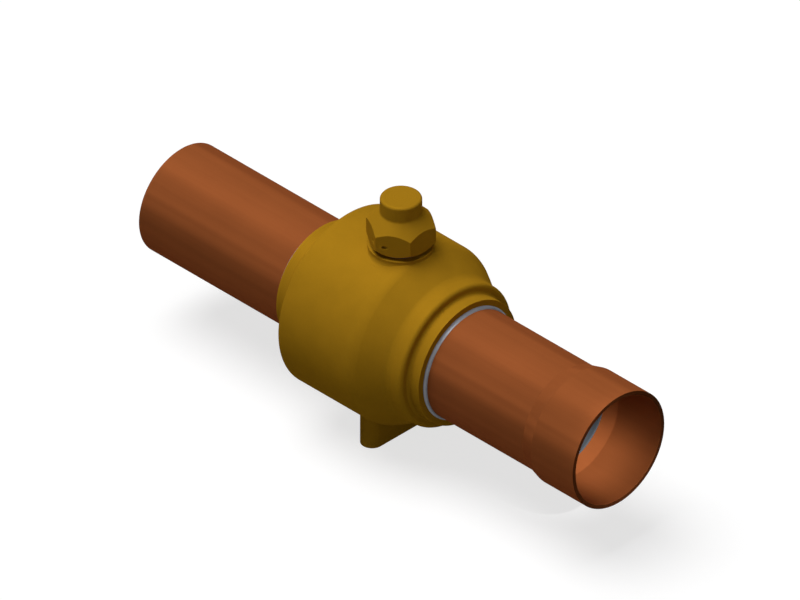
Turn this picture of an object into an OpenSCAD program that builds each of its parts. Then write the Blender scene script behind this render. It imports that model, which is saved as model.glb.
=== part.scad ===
// Shut-off ball valve with brazed copper stubs, a seal cap over the stem, and a foot.
// Millimetres. The origin is at the middle of the foot's underside, +X runs along the
// pipe to the socket mouth, and +Z runs up the stem.

/* [Copper stubs] */
// Outside diameter of the copper pipe
pipe_od = 54; // [50:0.5:60]
// Wall of the copper pipe
pipe_wall = 2; // [1.5:0.1:2.5]
// Distance from the stem axis to the mouth of the socket
outlet_reach = 137.7; // [120:0.1:180]
// Distance from the stem axis to the plain end
inlet_reach = 139; // [100:0.5:180]
// Depth of the socket that takes the next pipe
socket_depth = 24.7; // [18:0.1:32]
// Radial play of the next pipe in the socket
socket_play = 0.05; // [0.02:0.01:0.2]
// Length of the swage's inner slope, between the pipe and the socket
swage_len = 8.9; // [6:0.1:14]
// Length of the swage's outer slope
swage_outer_len = 7.2; // [5:0.1:9]
// How far the outer slope of the swage starts before the inner one
swage_shift = 1.5; // [0:0.1:3]
// Radius of the bends at both ends of the outer slope
swage_round = 5; // [2:0.5:12]
// Wall of the steel sleeve inside each stub
sleeve_wall = 0.95; // [0.6:0.05:1]
// Length of each stub that sits in its brazing socket
braze_depth = 8.57; // [6:0.01:14]
// Radial depth by which the brazed end of each stub is turned down
stub_turned = 0.3; // [0.3:0.01:0.45]
// Reach of the braze fillet along the pipe
fillet_len = 1.53; // [0.8:0.01:2.5]
// Height of the braze fillet up the end face
fillet_rise = 1.1; // [0.5:0.05:1.8]

/* [Ball and seats] */
// Diameter of the ball
ball_d = 72; // [70:0.5:78]
// Diameter of the way through the ball
port_d = 48; // [44:0.5:48]
// Gap between the ball and its seats
seat_gap = 0.25; // [0.1:0.05:0.35]
// Radial width of a seat ring
seat_width = 5.9; // [5:0.1:7]
// Depth of a seat ring in front of its sealing lip
seat_front = 3.7; // [3:0.1:4.5]
// Depth of a seat ring behind its sealing lip
seat_land = 2.4; // [1.8:0.1:3.5]
// Thickness of the elastic ring behind a seat
spring_d = 2.2; // [1.6:0.1:3]
// Length of the shoulder between the seat pocket and the pipe
shoulder_len = 2; // [1.5:0.1:4]
// Diameter of the small vent from the slot into the way through
vent_d = 2.5; // [1.5:0.1:3]

/* [Body] */
// Room between the ball and the wall of the chamber
chamber_gap = 1.5; // [1:0.1:3]
// Wall of the barrel
body_wall = 6.8; // [6:0.1:9]
// Slope of the shoulder cone against the pipe axis
cone_angle = 30; // [27:1:38]
// Length of the hub between the cone and its face
hub_len = 7.91; // [6:0.01:10]
// Wall of the hub round the seat pocket
hub_wall = 5.3; // [4.5:0.1:7]
// Length of the outlet neck beyond the hub face
neck_len = 6.72; // [5:0.01:8]
// Wall of the outlet neck round the pipe
neck_wall = 4.25; // [3.3:0.05:4.6]
// Radius of the round between the barrel and the cone
barrel_round = 12; // [6:0.5:14]
// Radius of the hollow between the cone and the hub
hub_hollow = 8; // [4:0.5:9]
// Radius of the round on the edge of the hub
hub_round = 2; // [1:0.1:2.4]
// Radius of the hollow at the foot of the neck
neck_hollow = 1.5; // [1:0.1:2]

/* [Boss, spigot and foot] */
// Height of the boss pad above the crown of the barrel
pad_rise = 0.2; // [0.1:0.05:2]
// Width of the pad that shows round the cap
pad_margin = 2.8; // [2:0.1:4]
// Radius of the hollow round the pad
pad_hollow = 2.5; // [1:0.1:3]
// Height of the threaded spigot above the pad
spigot_h = 11.5; // [10.5:0.1:14]
// Outside diameter of the spigot's thread
spigot_d = 20; // [19.6:0.1:24]
// Height of the relief at the foot of the thread
relief_h = 1.6; // [1:0.1:2.5]
// Height from the underside of the foot to the barrel
foot_drop = 10.7; // [8:0.1:20]
// Width of the foot along the pipe
foot_w = 10.74; // [10:0.02:16]
// Length of the foot across the pipe
foot_len = 47.4; // [44:0.2:56]
// Diameter of the tapping bores in the foot
foot_hole_d = 4.2; // [3.3:0.1:5]
// Distance between the two bores of the foot
foot_hole_pitch = 34; // [28:0.5:36]
// Depth of the bores of the foot
foot_hole_depth = 9; // [6:0.5:12]

/* [End connector] */
// Length of the connector ahead of its ring groove
plug_lead = 1.3; // [1:0.1:2.5]
// Width of the ring groove
plug_groove_w = 2.8; // [2.4:0.1:3.4]
// Depth of the ring groove
plug_groove_depth = 2.1; // [1.6:0.1:2.6]
// Land between the ring groove and the thread
plug_land = 0.9; // [0.8:0.1:2]
// Length of the connector's thread
plug_thread_len = 5.65; // [5:0.05:9]
// Radial height of the step from the chamber up to the thread
plug_thread_rise = 1.45; // [1:0.05:1.8]
// Thickness of the connector's flange
flange_t = 2; // [1.5:0.1:3]
// Width of the flange that shows beyond the thread
flange_lip = 2.05; // [1.4:0.05:3]
// Width across the flats of the connector's hexagon
plug_hex_af = 60; // [59:0.5:66]
// Length of the connector's hexagon
plug_hex_len = 7.5; // [6:0.1:10]
// Diameter to which the corners of that hexagon are turned
plug_hex_d = 66; // [64:0.5:68]
// Length of the inlet neck beyond the hexagon
plug_neck_len = 6.7; // [5:0.1:10]
// Wall of the inlet neck round the pipe
plug_neck_wall = 2.35; // [1.9:0.05:2.4]

/* [Stem and stops] */
// Diameter of the stem's shank
stem_d = 11; // [10:0.1:11.6]
// Width of the stem's square end across the flats
stem_square = 7.6; // [6.8:0.1:7.7]
// Length of the stem's square end
stem_square_len = 8.7; // [7:0.1:11]
// Width of the tang that turns the ball
tang_w = 8; // [6.5:0.1:9]
// Length of the tang along its slot
tang_len = 14.2; // [12:0.1:15]
// Depth of the tang in the ball
tang_depth = 6.7; // [5:0.1:8]
// Diameter of the shoulder that keeps the stem from being blown out
stop_shoulder_d = 17; // [15.5:0.1:18]
// Thickness of that shoulder
stop_shoulder_t = 2.4; // [2:0.1:3]
// Room between the ball and the stem's shoulder
shoulder_rise = 0.4; // [0.3:0.1:1]
// Thickness of the thrust washer
washer_t = 1.1; // [0.8:0.1:1.4]
// Width of each ring groove in the stem
stem_groove_w = 2.2; // [2:0.1:2.5]
// Depth of each ring groove in the stem
stem_groove_depth = 1.6; // [1.4:0.1:1.8]
// Length of plain shank below each ring groove
stem_land = 2.4; // [1.8:0.1:2.8]
// Diameter of the stop pin
pin_d = 2; // [1.6:0.1:2.2]
// Depth of the stop pin in the spigot
pin_depth = 6; // [4:0.5:8]
// Metal between the stem's bore and the stop pin
pin_land = 0.85; // [0.7:0.05:1]
// Thickness of the stop plate
plate_t = 1.2; // [1:0.1:1.6]
// Width of the stop plate beyond the middle of the stop pin
plate_margin = 1.6; // [1.4:0.1:1.8]
// Thickness of the circlip
clip_t = 0.9; // [0.7:0.1:1.2]
// Radial width of the circlip
clip_w = 1.8; // [1.4:0.1:2.2]
// Opening of the circlip, as an angle
clip_opening = 64; // [50:2:90]
// Angle through which the stem turns
quarter_turn = 90; // [80:1:95]

/* [Cap] */
// Thickness of the gasket under the cap
gasket_t = 0.8; // [0.5:0.1:1.2]
// Height of the round skirt below the hexagon
skirt_h = 1; // [0.8:0.1:2]
// Wall of the skirt round the thread
skirt_wall = 2; // [1.6:0.1:2.6]
// Wall of the hexagon round the thread, at a flat
cap_hex_wall = 3.95; // [3.6:0.05:5]
// Height of the hexagon's corners
cap_hex_h = 9.2; // [8:0.1:10]
// Chamfer on the hexagon's lower corners
cap_hex_bevel = 2.1; // [1:0.1:2.1]
// Diameter of the knob
knob_d = 19.1; // [18:0.1:21]
// Radius of the round on the knob's top edge
knob_round = 1.3; // [0.6:0.1:2]
// Radius of the hollow at the knob's foot
knob_hollow = 1.2; // [0.5:0.1:1.5]
// Thickness of the cap's crown
crown_t = 2.4; // [1.8:0.1:3.5]
// Room above the end of the stem
crown_gap = 2.6; // [1.5:0.1:4]
// Room inside the knob round the shank of the stem
knob_gap = 1.1; // [0.8:0.1:1.3]
// Height of the room for the stop plate above the spigot
plate_room = 4; // [3.5:0.1:4.6]
// Diameter of the sealing wire's hole through one corner
wire_hole_d = 1.5; // [1:0.1:1.8]
// Distance of that hole from its corner
wire_hole_inset = 2.2; // [1.8:0.1:2.8]
// Height of that hole above the lower face of the hexagon
wire_hole_z = 4.4; // [3.4:0.1:5.4]

/* [Clearances] */
// Radial play between brazed, pressed or seated pieces
seat_play = 0.05; // [0.02:0.01:0.08]
// Radial play of the stem in its bore
stem_play = 0.05; // [0.02:0.01:0.1]
// Radial play of the cap's thread on the spigot
thread_play = 0.1; // [0.05:0.01:0.1]
// Play between the tang and the sides of its slot
tang_play = 0.1; // [0.05:0.05:0.2]
// Small room at the end of a pocket, slot or plate
end_play = 0.3; // [0.2:0.05:0.5]

/* [Hidden] */
$fn = 120;

brass_colour = [0.66, 0.49, 0.1];
copper_colour = [0.6, 0.33, 0.18];
steel_colour = [0.5, 0.53, 0.56];
silver_colour = [0.75, 0.77, 0.8];
seat_colour = [0.93, 0.93, 0.9];
rubber_colour = [0.12, 0.12, 0.12];
gasket_colour = [0.45, 0.47, 0.5];

cut = 1;                                   // how far a cutting shape runs past a face
edge = 0.4;                                // small rounds and chamfers on turned edges

// Radii of the pipe, measured from the pipe axis
pipe_r = pipe_od / 2;
pipe_ir = pipe_r - pipe_wall;
socket_ir = pipe_r + socket_play;
socket_r = socket_ir + pipe_wall;
stub_seat_r = pipe_r - stub_turned;
pipe_seat_r = stub_seat_r + seat_play;
sleeve_r = pipe_ir - seat_play;
sleeve_ir = sleeve_r - sleeve_wall;

// Places along the outlet stub
socket_floor = outlet_reach - socket_depth;
swage_root = socket_floor - swage_len;

// Ball, seats and chamber, with x measured from the stem axis along the pipe
ball_r = ball_d / 2;
port_r = port_d / 2;
chamber_r = ball_r + chamber_gap;
body_r = chamber_r + body_wall;
seat_sphere_r = ball_r + seat_gap;
seat_ir = port_r + end_play;
seat_r = seat_ir + seat_width;
pocket_r = seat_r + seat_play;
shoulder_ir = port_r + end_play / 2;
lip_x = sqrt(pow(seat_sphere_r, 2) - pow(seat_ir, 2));
seat_front_x = lip_x - seat_front;
seat_back_x = lip_x + seat_land;
pocket_front_x = seat_front_x - end_play / 2;
pocket_back_x = seat_back_x + spring_d;

// Outside of the body along the pipe
outlet_stop_x = pocket_back_x + shoulder_len;
neck_end_x = outlet_stop_x + braze_depth;
hub_face_x = neck_end_x - neck_len;
hub_r = pocket_r + hub_wall;
neck_r = pipe_seat_r + neck_wall;
cone_end_x = hub_face_x - hub_len;
cone_start_x = cone_end_x - (body_r - hub_r) / tan(cone_angle);
chamber_end_x = cone_start_x - body_wall * tan(cone_angle / 2);

// The end connector, with x measured from the stem axis towards the inlet
plug_front_x = pocket_front_x;
groove_x = plug_front_x + plug_lead;
plug_r = chamber_r - seat_play;
plug_thread_x = groove_x + plug_groove_w + plug_land;
body_left_x = plug_thread_x + plug_thread_len;
plug_thread_r = chamber_r + plug_thread_rise;
flange_r = plug_thread_r + flange_lip;
plug_hex_x = body_left_x + flange_t;
plug_neck_x = plug_hex_x + plug_hex_len;
plug_end_x = plug_neck_x + plug_neck_len;
plug_neck_r = pipe_seat_r + plug_neck_wall;
inlet_stop_x = plug_end_x - braze_depth;

// Heights above the pipe axis
pad_z = body_r + pad_rise;
spigot_top_z = pad_z + spigot_h;
stop_shoulder_z = ball_r + shoulder_rise;
washer_z = stop_shoulder_z + stop_shoulder_t;
ceiling_z = washer_z + washer_t + seat_play;
lower_groove_z = ceiling_z + stem_land;
upper_groove_z = lower_groove_z + stem_groove_w + stem_land;
plate_z = spigot_top_z + end_play;
clip_z = plate_z + plate_t;
stem_top_z = plate_z + stem_square_len;
tang_z = ball_r - tang_depth;
axis_h = body_r + foot_drop;

// Radii about the stem axis
stem_r = stem_d / 2;
stem_bore_r = stem_r + stem_play;
stop_shoulder_r = stop_shoulder_d / 2;
washer_pocket_r = stop_shoulder_r + end_play;
groove_floor_r = stem_r - stem_groove_depth;
spigot_r = spigot_d / 2;
relief_r = spigot_r - 1;
pin_r = pin_d / 2;
pin_orbit = stem_bore_r + pin_land + pin_r;
plate_r = pin_orbit + plate_margin;
clip_groove_r = (stem_square / 2 + stem_square / sqrt(2)) / 2;

// The cap
cap_z = pad_z + gasket_t;
thread_bore_r = spigot_r + thread_play;
skirt_r = thread_bore_r + skirt_wall;
pad_r = skirt_r + pad_margin;
cap_hex_af = 2 * (thread_bore_r + cap_hex_wall);
cap_corner_r = cap_hex_af / sqrt(3);
cap_hex_z = cap_z + skirt_h;
cap_corner_z = cap_hex_z + cap_hex_h;
knob_r = knob_d / 2;
knob_z = cap_corner_z + cap_corner_r - knob_r;
crown_z = stem_top_z + crown_gap;
cap_top_z = crown_z + crown_t;
knob_ir = stem_r + knob_gap;
chamber_top_z = spigot_top_z + plate_room;
plate_chamber_r = plate_r + end_play;

// Unit vector from one point to another
function unit(v) = v / norm(v);

// Points of the arc that rounds the corner c between its neighbours p and n
function corner_arc(p, c, n, r, steps) =
    let (u = unit(p - c), v = unit(n - c))
    let (half = acos(u * v) / 2)
    let (t = min(r / tan(half), 0.49 * norm(p - c), 0.49 * norm(n - c)))
    let (arc_r = t * tan(half), o = c + unit(u + v) * arc_r / sin(half))
    let (from = c + u * t - o, to = c + v * t - o)
    let (a0 = atan2(from.y, from.x), a1 = atan2(to.y, to.x))
    let (sweep = (a1 - a0 + 540) % 360 - 180)
    [for (i = [0:steps]) o + arc_r * [cos(a0 + sweep * i / steps), sin(a0 + sweep * i / steps)]];

// An outline from [x, y, radius] corners
function rounded(corners, steps = 6) =
    let (count = len(corners))
    [for (i = [0:count - 1])
        let (c = corners[i], p = corners[(i + count - 1) % count], n = corners[(i + 1) % count])
        each (c[2] > 0 ? corner_arc([p.x, p.y], [c.x, c.y], [n.x, n.y], c[2], steps) : [[c.x, c.y]])];

// Lifts what is drawn about the pipe axis to its height above the foot
module at_axis() {
    translate([0, 0, axis_h]) children();
}

// Revolves an outline of [x along the pipe, radius] points about the pipe axis
module along_pipe(outline) {
    at_axis() rotate([0, 90, 0]) rotate_extrude() polygon([for (p = outline) [p.y, p.x]]);
}

// Revolves an outline of [radius, height above the pipe axis] points about the stem axis
module round_stem(outline) {
    at_axis() rotate_extrude() polygon(outline);
}

// The same about the pipe axis, with x counted towards the inlet
module towards_inlet() {
    mirror([1, 0, 0]) children();
}

// Ring of a soft section, squeezed between radii r0 and r1, lying from x0 to x1
function squeezed(x0, x1, r0, r1) =
    let (round_r = 0.46 * min(x1 - x0, r1 - r0))
    rounded([[x0, r0, round_r], [x1, r0, round_r], [x1, r1, round_r], [x0, r1, round_r]], 5);

// Body

module barrel_outside() {
    along_pipe(rounded([
        [-body_left_x, 0, 0], [-body_left_x, body_r, edge], [cone_start_x, body_r, barrel_round],
        [cone_end_x, hub_r, hub_hollow], [hub_face_x, hub_r, hub_round],
        [hub_face_x, neck_r, neck_hollow], [neck_end_x, neck_r, edge], [neck_end_x, 0, 0]
    ]));
}

module barrel_inside() {
    along_pipe([
        [-body_left_x - cut, 0], [-body_left_x - cut, plug_thread_r + seat_play],
        [-plug_thread_x, plug_thread_r + seat_play], [-plug_thread_x, chamber_r],
        [chamber_end_x, chamber_r], [pocket_front_x, pocket_r], [pocket_back_x, pocket_r],
        [pocket_back_x, shoulder_ir], [outlet_stop_x, shoulder_ir], [outlet_stop_x, pipe_seat_r],
        [neck_end_x + cut, pipe_seat_r], [neck_end_x + cut, 0]
    ]);
}

// Pad under the cap, with a hollow that runs out into the flanks of the barrel
module boss_pad() {
    flank_z = sqrt(pow(body_r, 2) - pow(pad_r, 2));
    flank_fall = pad_hollow * pad_r / flank_z;
    round_stem(rounded([
        [0, chamber_r, 0], [pad_r + pad_hollow, chamber_r, 0],
        [pad_r + pad_hollow, flank_z - flank_fall, 0], [pad_r, flank_z, pad_hollow],
        [pad_r, pad_z, 0], [0, pad_z, 0]
    ]));
}

module spigot() {
    round_stem([
        [0, chamber_r], [relief_r, chamber_r], [relief_r, pad_z + relief_h],
        [spigot_r, pad_z + relief_h + spigot_r - relief_r], [spigot_r, spigot_top_z - edge],
        [spigot_r - edge, spigot_top_z], [0, spigot_top_z]
    ]);
}

// Stadium outline, long across the pipe
module foot_outline() {
    end_y = (foot_len - foot_w) / 2;
    square([foot_w, 2 * end_y], center = true);
    for (side = [-1, 1]) translate([0, side * end_y]) circle(d = foot_w);
}

module foot() {
    linear_extrude(height = axis_h - chamber_r / 2) foot_outline();
}

module foot_holes() {
    for (side = [-1, 1])
        translate([0, side * foot_hole_pitch / 2, -cut])
            cylinder(d = foot_hole_d, h = foot_hole_depth + cut);
}

// Bore of the stem, pocket of its washer, and hole of the stop pin
module stem_way() {
    at_axis() {
        cylinder(r = stem_bore_r, h = spigot_top_z + cut);
        cylinder(r = washer_pocket_r, h = ceiling_z);
        translate([pin_orbit, 0, spigot_top_z - pin_depth]) cylinder(r = pin_r, h = pin_depth + cut);
    }
}

module valve_body() {
    color(brass_colour)
        difference() {
            union() {
                barrel_outside();
                boss_pad();
                spigot();
                foot();
            }
            barrel_inside();
            stem_way();
            foot_holes();
        }
}

// End connector

module connector_outside() {
    towards_inlet() along_pipe([
        [plug_front_x, 0], [plug_front_x, plug_r - edge], [plug_front_x + edge, plug_r],
        [groove_x, plug_r], [groove_x, plug_r - plug_groove_depth],
        [groove_x + plug_groove_w, plug_r - plug_groove_depth], [groove_x + plug_groove_w, plug_r],
        [plug_thread_x + end_play, plug_r], [plug_thread_x + end_play, plug_thread_r],
        [body_left_x, plug_thread_r], [body_left_x, flange_r],
        [plug_hex_x - edge, flange_r], [plug_hex_x, flange_r - edge], [plug_hex_x, 0]
    ]);
}

module connector_hexagon() {
    towards_inlet()
        intersection() {
            at_axis() translate([plug_hex_x - cut, 0, 0]) rotate([0, 90, 0])
                cylinder(d = plug_hex_af / cos(30), h = plug_hex_len + cut, $fn = 6);
            along_pipe([
                [plug_hex_x - cut, 0], [plug_hex_x - cut, plug_hex_d / 2],
                [plug_neck_x - 1.5, plug_hex_d / 2], [plug_neck_x, plug_hex_af / 2], [plug_neck_x, 0]
            ]);
        }
}

module connector_neck() {
    towards_inlet() along_pipe(rounded([
        [plug_hex_x, 0, 0], [plug_hex_x, plug_neck_r + edge, 0], [plug_neck_x, plug_neck_r + edge, 0],
        [plug_neck_x + edge, plug_neck_r, 0], [plug_end_x, plug_neck_r, edge], [plug_end_x, 0, 0]
    ]));
}

module connector_inside() {
    towards_inlet() along_pipe([
        [plug_front_x - cut, 0], [plug_front_x - cut, pocket_r], [pocket_back_x, pocket_r],
        [pocket_back_x, shoulder_ir], [inlet_stop_x, shoulder_ir], [inlet_stop_x, pipe_seat_r],
        [plug_end_x + cut, pipe_seat_r], [plug_end_x + cut, 0]
    ]);
}

module end_connector() {
    color(brass_colour)
        difference() {
            union() {
                connector_outside();
                connector_hexagon();
                connector_neck();
            }
            connector_inside();
        }
}

module connector_o_ring() {
    floor_r = plug_r - plug_groove_depth;
    color(rubber_colour)
        towards_inlet() along_pipe(squeezed(
            groove_x + end_play / 2, groove_x + plug_groove_w - end_play / 2, floor_r, chamber_r));
}

// Copper stubs, their sleeves and their braze

module outlet_tube() {
    turned_end_x = neck_end_x + fillet_len;
    color(copper_colour)
        along_pipe(rounded([
            [outlet_stop_x, stub_seat_r, 0], [turned_end_x, stub_seat_r, 0], [turned_end_x, pipe_r, 0],
            [swage_root - swage_shift, pipe_r, swage_round],
            [swage_root - swage_shift + swage_outer_len, socket_r, swage_round],
            [outlet_reach, socket_r, 0],
            [outlet_reach, socket_ir, 0], [socket_floor, socket_ir, 0], [swage_root, pipe_ir, 0],
            [outlet_stop_x, pipe_ir, 0]
        ]));
}

module inlet_tube() {
    turned_end_x = plug_end_x + fillet_len;
    color(copper_colour)
        towards_inlet() along_pipe([
            [inlet_stop_x, pipe_ir], [inlet_stop_x, stub_seat_r], [turned_end_x, stub_seat_r],
            [turned_end_x, pipe_r], [inlet_reach, pipe_r], [inlet_reach, pipe_ir + edge],
            [inlet_reach - edge, pipe_ir]
        ]);
}

// Sleeve from the inner end of its stub to as far out as the root of the swage
module stub_sleeve(stop_x) {
    along_pipe([[stop_x, sleeve_ir], [stop_x, sleeve_r], [swage_root, sleeve_r], [swage_root, sleeve_ir]]);
}

module outlet_sleeve() {
    color(steel_colour) stub_sleeve(outlet_stop_x);
}

module inlet_sleeve() {
    color(steel_colour) towards_inlet() stub_sleeve(inlet_stop_x);
}

// Hollow fillet of solder between an end face and the stub, filling the stub's step
module braze_ring(face_x) {
    steps = 6;
    along_pipe(concat(
        [[face_x, stub_seat_r], [face_x + fillet_len, stub_seat_r]],
        [for (i = [0:steps]) let (a = 90 * i / steps)
            [face_x + fillet_len * (1 - sin(a)), pipe_r + fillet_rise * (1 - cos(a))]]
    ));
}

module outlet_braze_ring() {
    color(silver_colour) braze_ring(neck_end_x);
}

module inlet_braze_ring() {
    color(silver_colour) towards_inlet() braze_ring(plug_end_x);
}

// Ball and seats

module ball() {
    color(silver_colour)
        at_axis()
            difference() {
                sphere(r = ball_r);
                rotate([0, 90, 0]) cylinder(r = port_r, h = ball_d + cut, center = true);
                translate([0, 0, tang_z - end_play])
                    tang_shape(tang_w + 2 * tang_play, tang_len + 2 * end_play, tang_depth + cut);
                cylinder(d = vent_d, h = ball_r);
            }
}

// Ring with a hollow face that matches the ball
module seat_ring() {
    steps = 8;
    front_r = sqrt(pow(seat_sphere_r, 2) - pow(seat_front_x, 2));
    a0 = asin(front_r / seat_sphere_r);
    a1 = asin(seat_ir / seat_sphere_r);
    along_pipe(concat(
        [[seat_back_x, seat_ir], [seat_back_x, seat_r], [seat_front_x, seat_r]],
        [for (i = [0:steps]) let (a = a0 + (a1 - a0) * i / steps) seat_sphere_r * [cos(a), sin(a)]]
    ));
}

module outlet_seat() {
    color(seat_colour) seat_ring();
}

module inlet_seat() {
    color(seat_colour) towards_inlet() seat_ring();
}

module seat_spring() {
    mid_r = (seat_ir + seat_r) / 2;
    along_pipe(squeezed(seat_back_x, pocket_back_x, mid_r - spring_d / 2, mid_r + spring_d / 2));
}

module outlet_seat_spring() {
    color(rubber_colour) seat_spring();
}

module inlet_seat_spring() {
    color(rubber_colour) towards_inlet() seat_spring();
}

// Stem and its stops

// Round bar of diameter len with two flats w apart, its long way across the pipe
module tang_shape(w, len, h) {
    intersection() {
        cylinder(d = len, h = h);
        translate([-w / 2, -len, 0]) cube([w, 2 * len, h]);
    }
}

module stem_shank() {
    round_stem([
        [0, stop_shoulder_z], [stop_shoulder_r, stop_shoulder_z], [stop_shoulder_r, washer_z],
        [stem_r, washer_z], [stem_r, lower_groove_z], [groove_floor_r, lower_groove_z],
        [groove_floor_r, lower_groove_z + stem_groove_w], [stem_r, lower_groove_z + stem_groove_w],
        [stem_r, upper_groove_z], [groove_floor_r, upper_groove_z],
        [groove_floor_r, upper_groove_z + stem_groove_w], [stem_r, upper_groove_z + stem_groove_w],
        [stem_r, plate_z], [0, plate_z]
    ]);
}

// Square end with turned corners, a groove for the circlip and a mark along the way through
module stem_end() {
    mark_w = 1.2;
    corner_r = stem_square / sqrt(2) - edge / 2;
    difference() {
        intersection() {
            at_axis() translate([-stem_square / 2, -stem_square / 2, plate_z - cut])
                cube([stem_square, stem_square, stem_square_len + cut]);
            round_stem([
                [0, plate_z - cut], [corner_r, plate_z - cut], [corner_r, stem_top_z - 3 * edge],
                [corner_r - 3 * edge, stem_top_z], [0, stem_top_z]
            ]);
        }
        at_axis() {
            translate([0, 0, clip_z])
                difference() {
                    cylinder(d = 2 * stem_square, h = clip_t + end_play);
                    cylinder(r = clip_groove_r, h = clip_t + end_play);
                }
            translate([-stem_square, -mark_w / 2, stem_top_z - mark_w])
                cube([2 * stem_square, mark_w, mark_w + cut]);
        }
    }
}

module stem() {
    color(steel_colour) {
        at_axis() translate([0, 0, tang_z]) tang_shape(tang_w, tang_len, stop_shoulder_z + edge - tang_z);
        stem_shank();
        stem_end();
    }
}

module thrust_washer() {
    color(seat_colour)
        round_stem([
            [stem_bore_r, washer_z + seat_play], [stop_shoulder_r, washer_z + seat_play],
            [stop_shoulder_r, ceiling_z], [stem_bore_r, ceiling_z]
        ]);
}

module stem_o_ring(groove_z) {
    color(rubber_colour)
        round_stem([for (p = squeezed(groove_z + end_play / 2, groove_z + stem_groove_w - end_play / 2,
            groove_floor_r, stem_bore_r - stem_play / 2)) [p.y, p.x]]);
}

module stem_o_ring_lower() {
    stem_o_ring(lower_groove_z);
}

module stem_o_ring_upper() {
    stem_o_ring(upper_groove_z);
}

// Sector of a ring between two angles, as an outline
module ring_sector(r0, r1, a0, a1) {
    steps = 16;
    angles = [for (i = [0:steps]) a0 + (a1 - a0) * i / steps];
    polygon(concat([for (a = angles) r0 * [cos(a), sin(a)]],
        [for (i = [steps:-1:0]) r1 * [cos(angles[i]), sin(angles[i])]]));
}

// Plate on the square, cut away so that it runs against the pin at each end of the turn
module stop_plate() {
    side_play = asin((pin_r + seat_play) / pin_orbit);
    color(steel_colour)
        at_axis() translate([0, 0, plate_z])
            linear_extrude(height = plate_t)
                difference() {
                    circle(r = plate_r);
                    square(stem_square + 2 * seat_play, center = true);
                    ring_sector(pin_orbit - pin_r - seat_play, plate_r + cut,
                        -quarter_turn - side_play, side_play);
                }
}

module stop_pin() {
    pin_top_z = clip_z - seat_play;
    pin_floor_z = spigot_top_z - pin_depth;
    color(steel_colour)
        at_axis() translate([pin_orbit, 0, pin_floor_z])
            cylinder(r = pin_r, h = pin_top_z - pin_floor_z);
}

// Open ring with an eyed ear at each side of its opening
module stem_circlip() {
    ring_r = clip_groove_r + seat_play;
    outer_r = ring_r + clip_w;
    ear_r = 0.6 * clip_w;
    ear_angle = clip_opening / 2 + asin(ear_r / outer_r);
    color(steel_colour)
        at_axis() translate([0, 0, clip_z + seat_play])
            linear_extrude(height = clip_t)
                difference() {
                    union() {
                        difference() {
                            circle(r = outer_r);
                            ring_sector(0, 2 * outer_r, 180 - clip_opening / 2, 180 + clip_opening / 2);
                        }
                        for (side = [-1, 1])
                            rotate(180 + side * ear_angle) translate([outer_r, 0]) circle(r = ear_r);
                    }
                    circle(r = ring_r);
                    for (side = [-1, 1])
                        rotate(180 + side * ear_angle) translate([outer_r, 0]) circle(r = ear_r / 2);
                }
}

// Cap and gasket

module cap_outside() {
    intersection() {
        at_axis() rotate(30) translate([0, 0, cap_hex_z])
            cylinder(r = cap_corner_r, h = knob_z - cap_hex_z, $fn = 6);
        round_stem([
            [0, cap_hex_z], [cap_corner_r - cap_hex_bevel, cap_hex_z],
            [cap_corner_r + edge, cap_hex_z + cap_hex_bevel + edge],
            [cap_corner_r + edge, cap_corner_z - edge], [knob_r, knob_z], [0, knob_z]
        ]);
    }
    round_stem([[0, cap_z], [skirt_r, cap_z], [skirt_r, cap_hex_z + edge], [0, cap_hex_z + edge]]);
    round_stem(rounded([
        [0, knob_z - 2 * edge - knob_hollow, 0],
        [knob_r + knob_hollow + edge, knob_z - knob_hollow - edge, 0], [knob_r, knob_z, knob_hollow],
        [knob_r, cap_top_z, knob_round], [0, cap_top_z, 0]
    ]));
}

module cap_inside() {
    round_stem([
        [0, cap_z - cut], [thread_bore_r + edge + cut, cap_z - cut], [thread_bore_r, cap_z + edge],
        [thread_bore_r, spigot_top_z + edge], [plate_chamber_r, spigot_top_z + edge + 0.8],
        [plate_chamber_r, chamber_top_z], [knob_ir, chamber_top_z + plate_chamber_r - knob_ir],
        [knob_ir, crown_z], [0, crown_z]
    ]);
}

module wire_hole() {
    at_axis() translate([0, wire_hole_inset - cap_corner_r, cap_hex_z + wire_hole_z])
        rotate([0, 90, 0]) cylinder(d = wire_hole_d, h = cap_corner_r, center = true);
}

module cap() {
    color(brass_colour)
        difference() {
            cap_outside();
            cap_inside();
            wire_hole();
        }
}

module cap_gasket() {
    color(gasket_colour)
        round_stem([
            [thread_bore_r + end_play, pad_z], [skirt_r - seat_play, pad_z],
            [skirt_r - seat_play, cap_z], [thread_bore_r + end_play, cap_z]
        ]);
}

valve_body();
end_connector();
outlet_tube();
inlet_tube();
outlet_sleeve();
inlet_sleeve();
outlet_braze_ring();
inlet_braze_ring();
connector_o_ring();
ball();
outlet_seat();
inlet_seat();
outlet_seat_spring();
inlet_seat_spring();
stem();
thrust_washer();
stem_o_ring_lower();
stem_o_ring_upper();
stop_plate();
stop_pin();
stem_circlip();
cap();
cap_gasket();
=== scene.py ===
"""Shut-off ball valve with brazed copper stubs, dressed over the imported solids."""
import math

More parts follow.
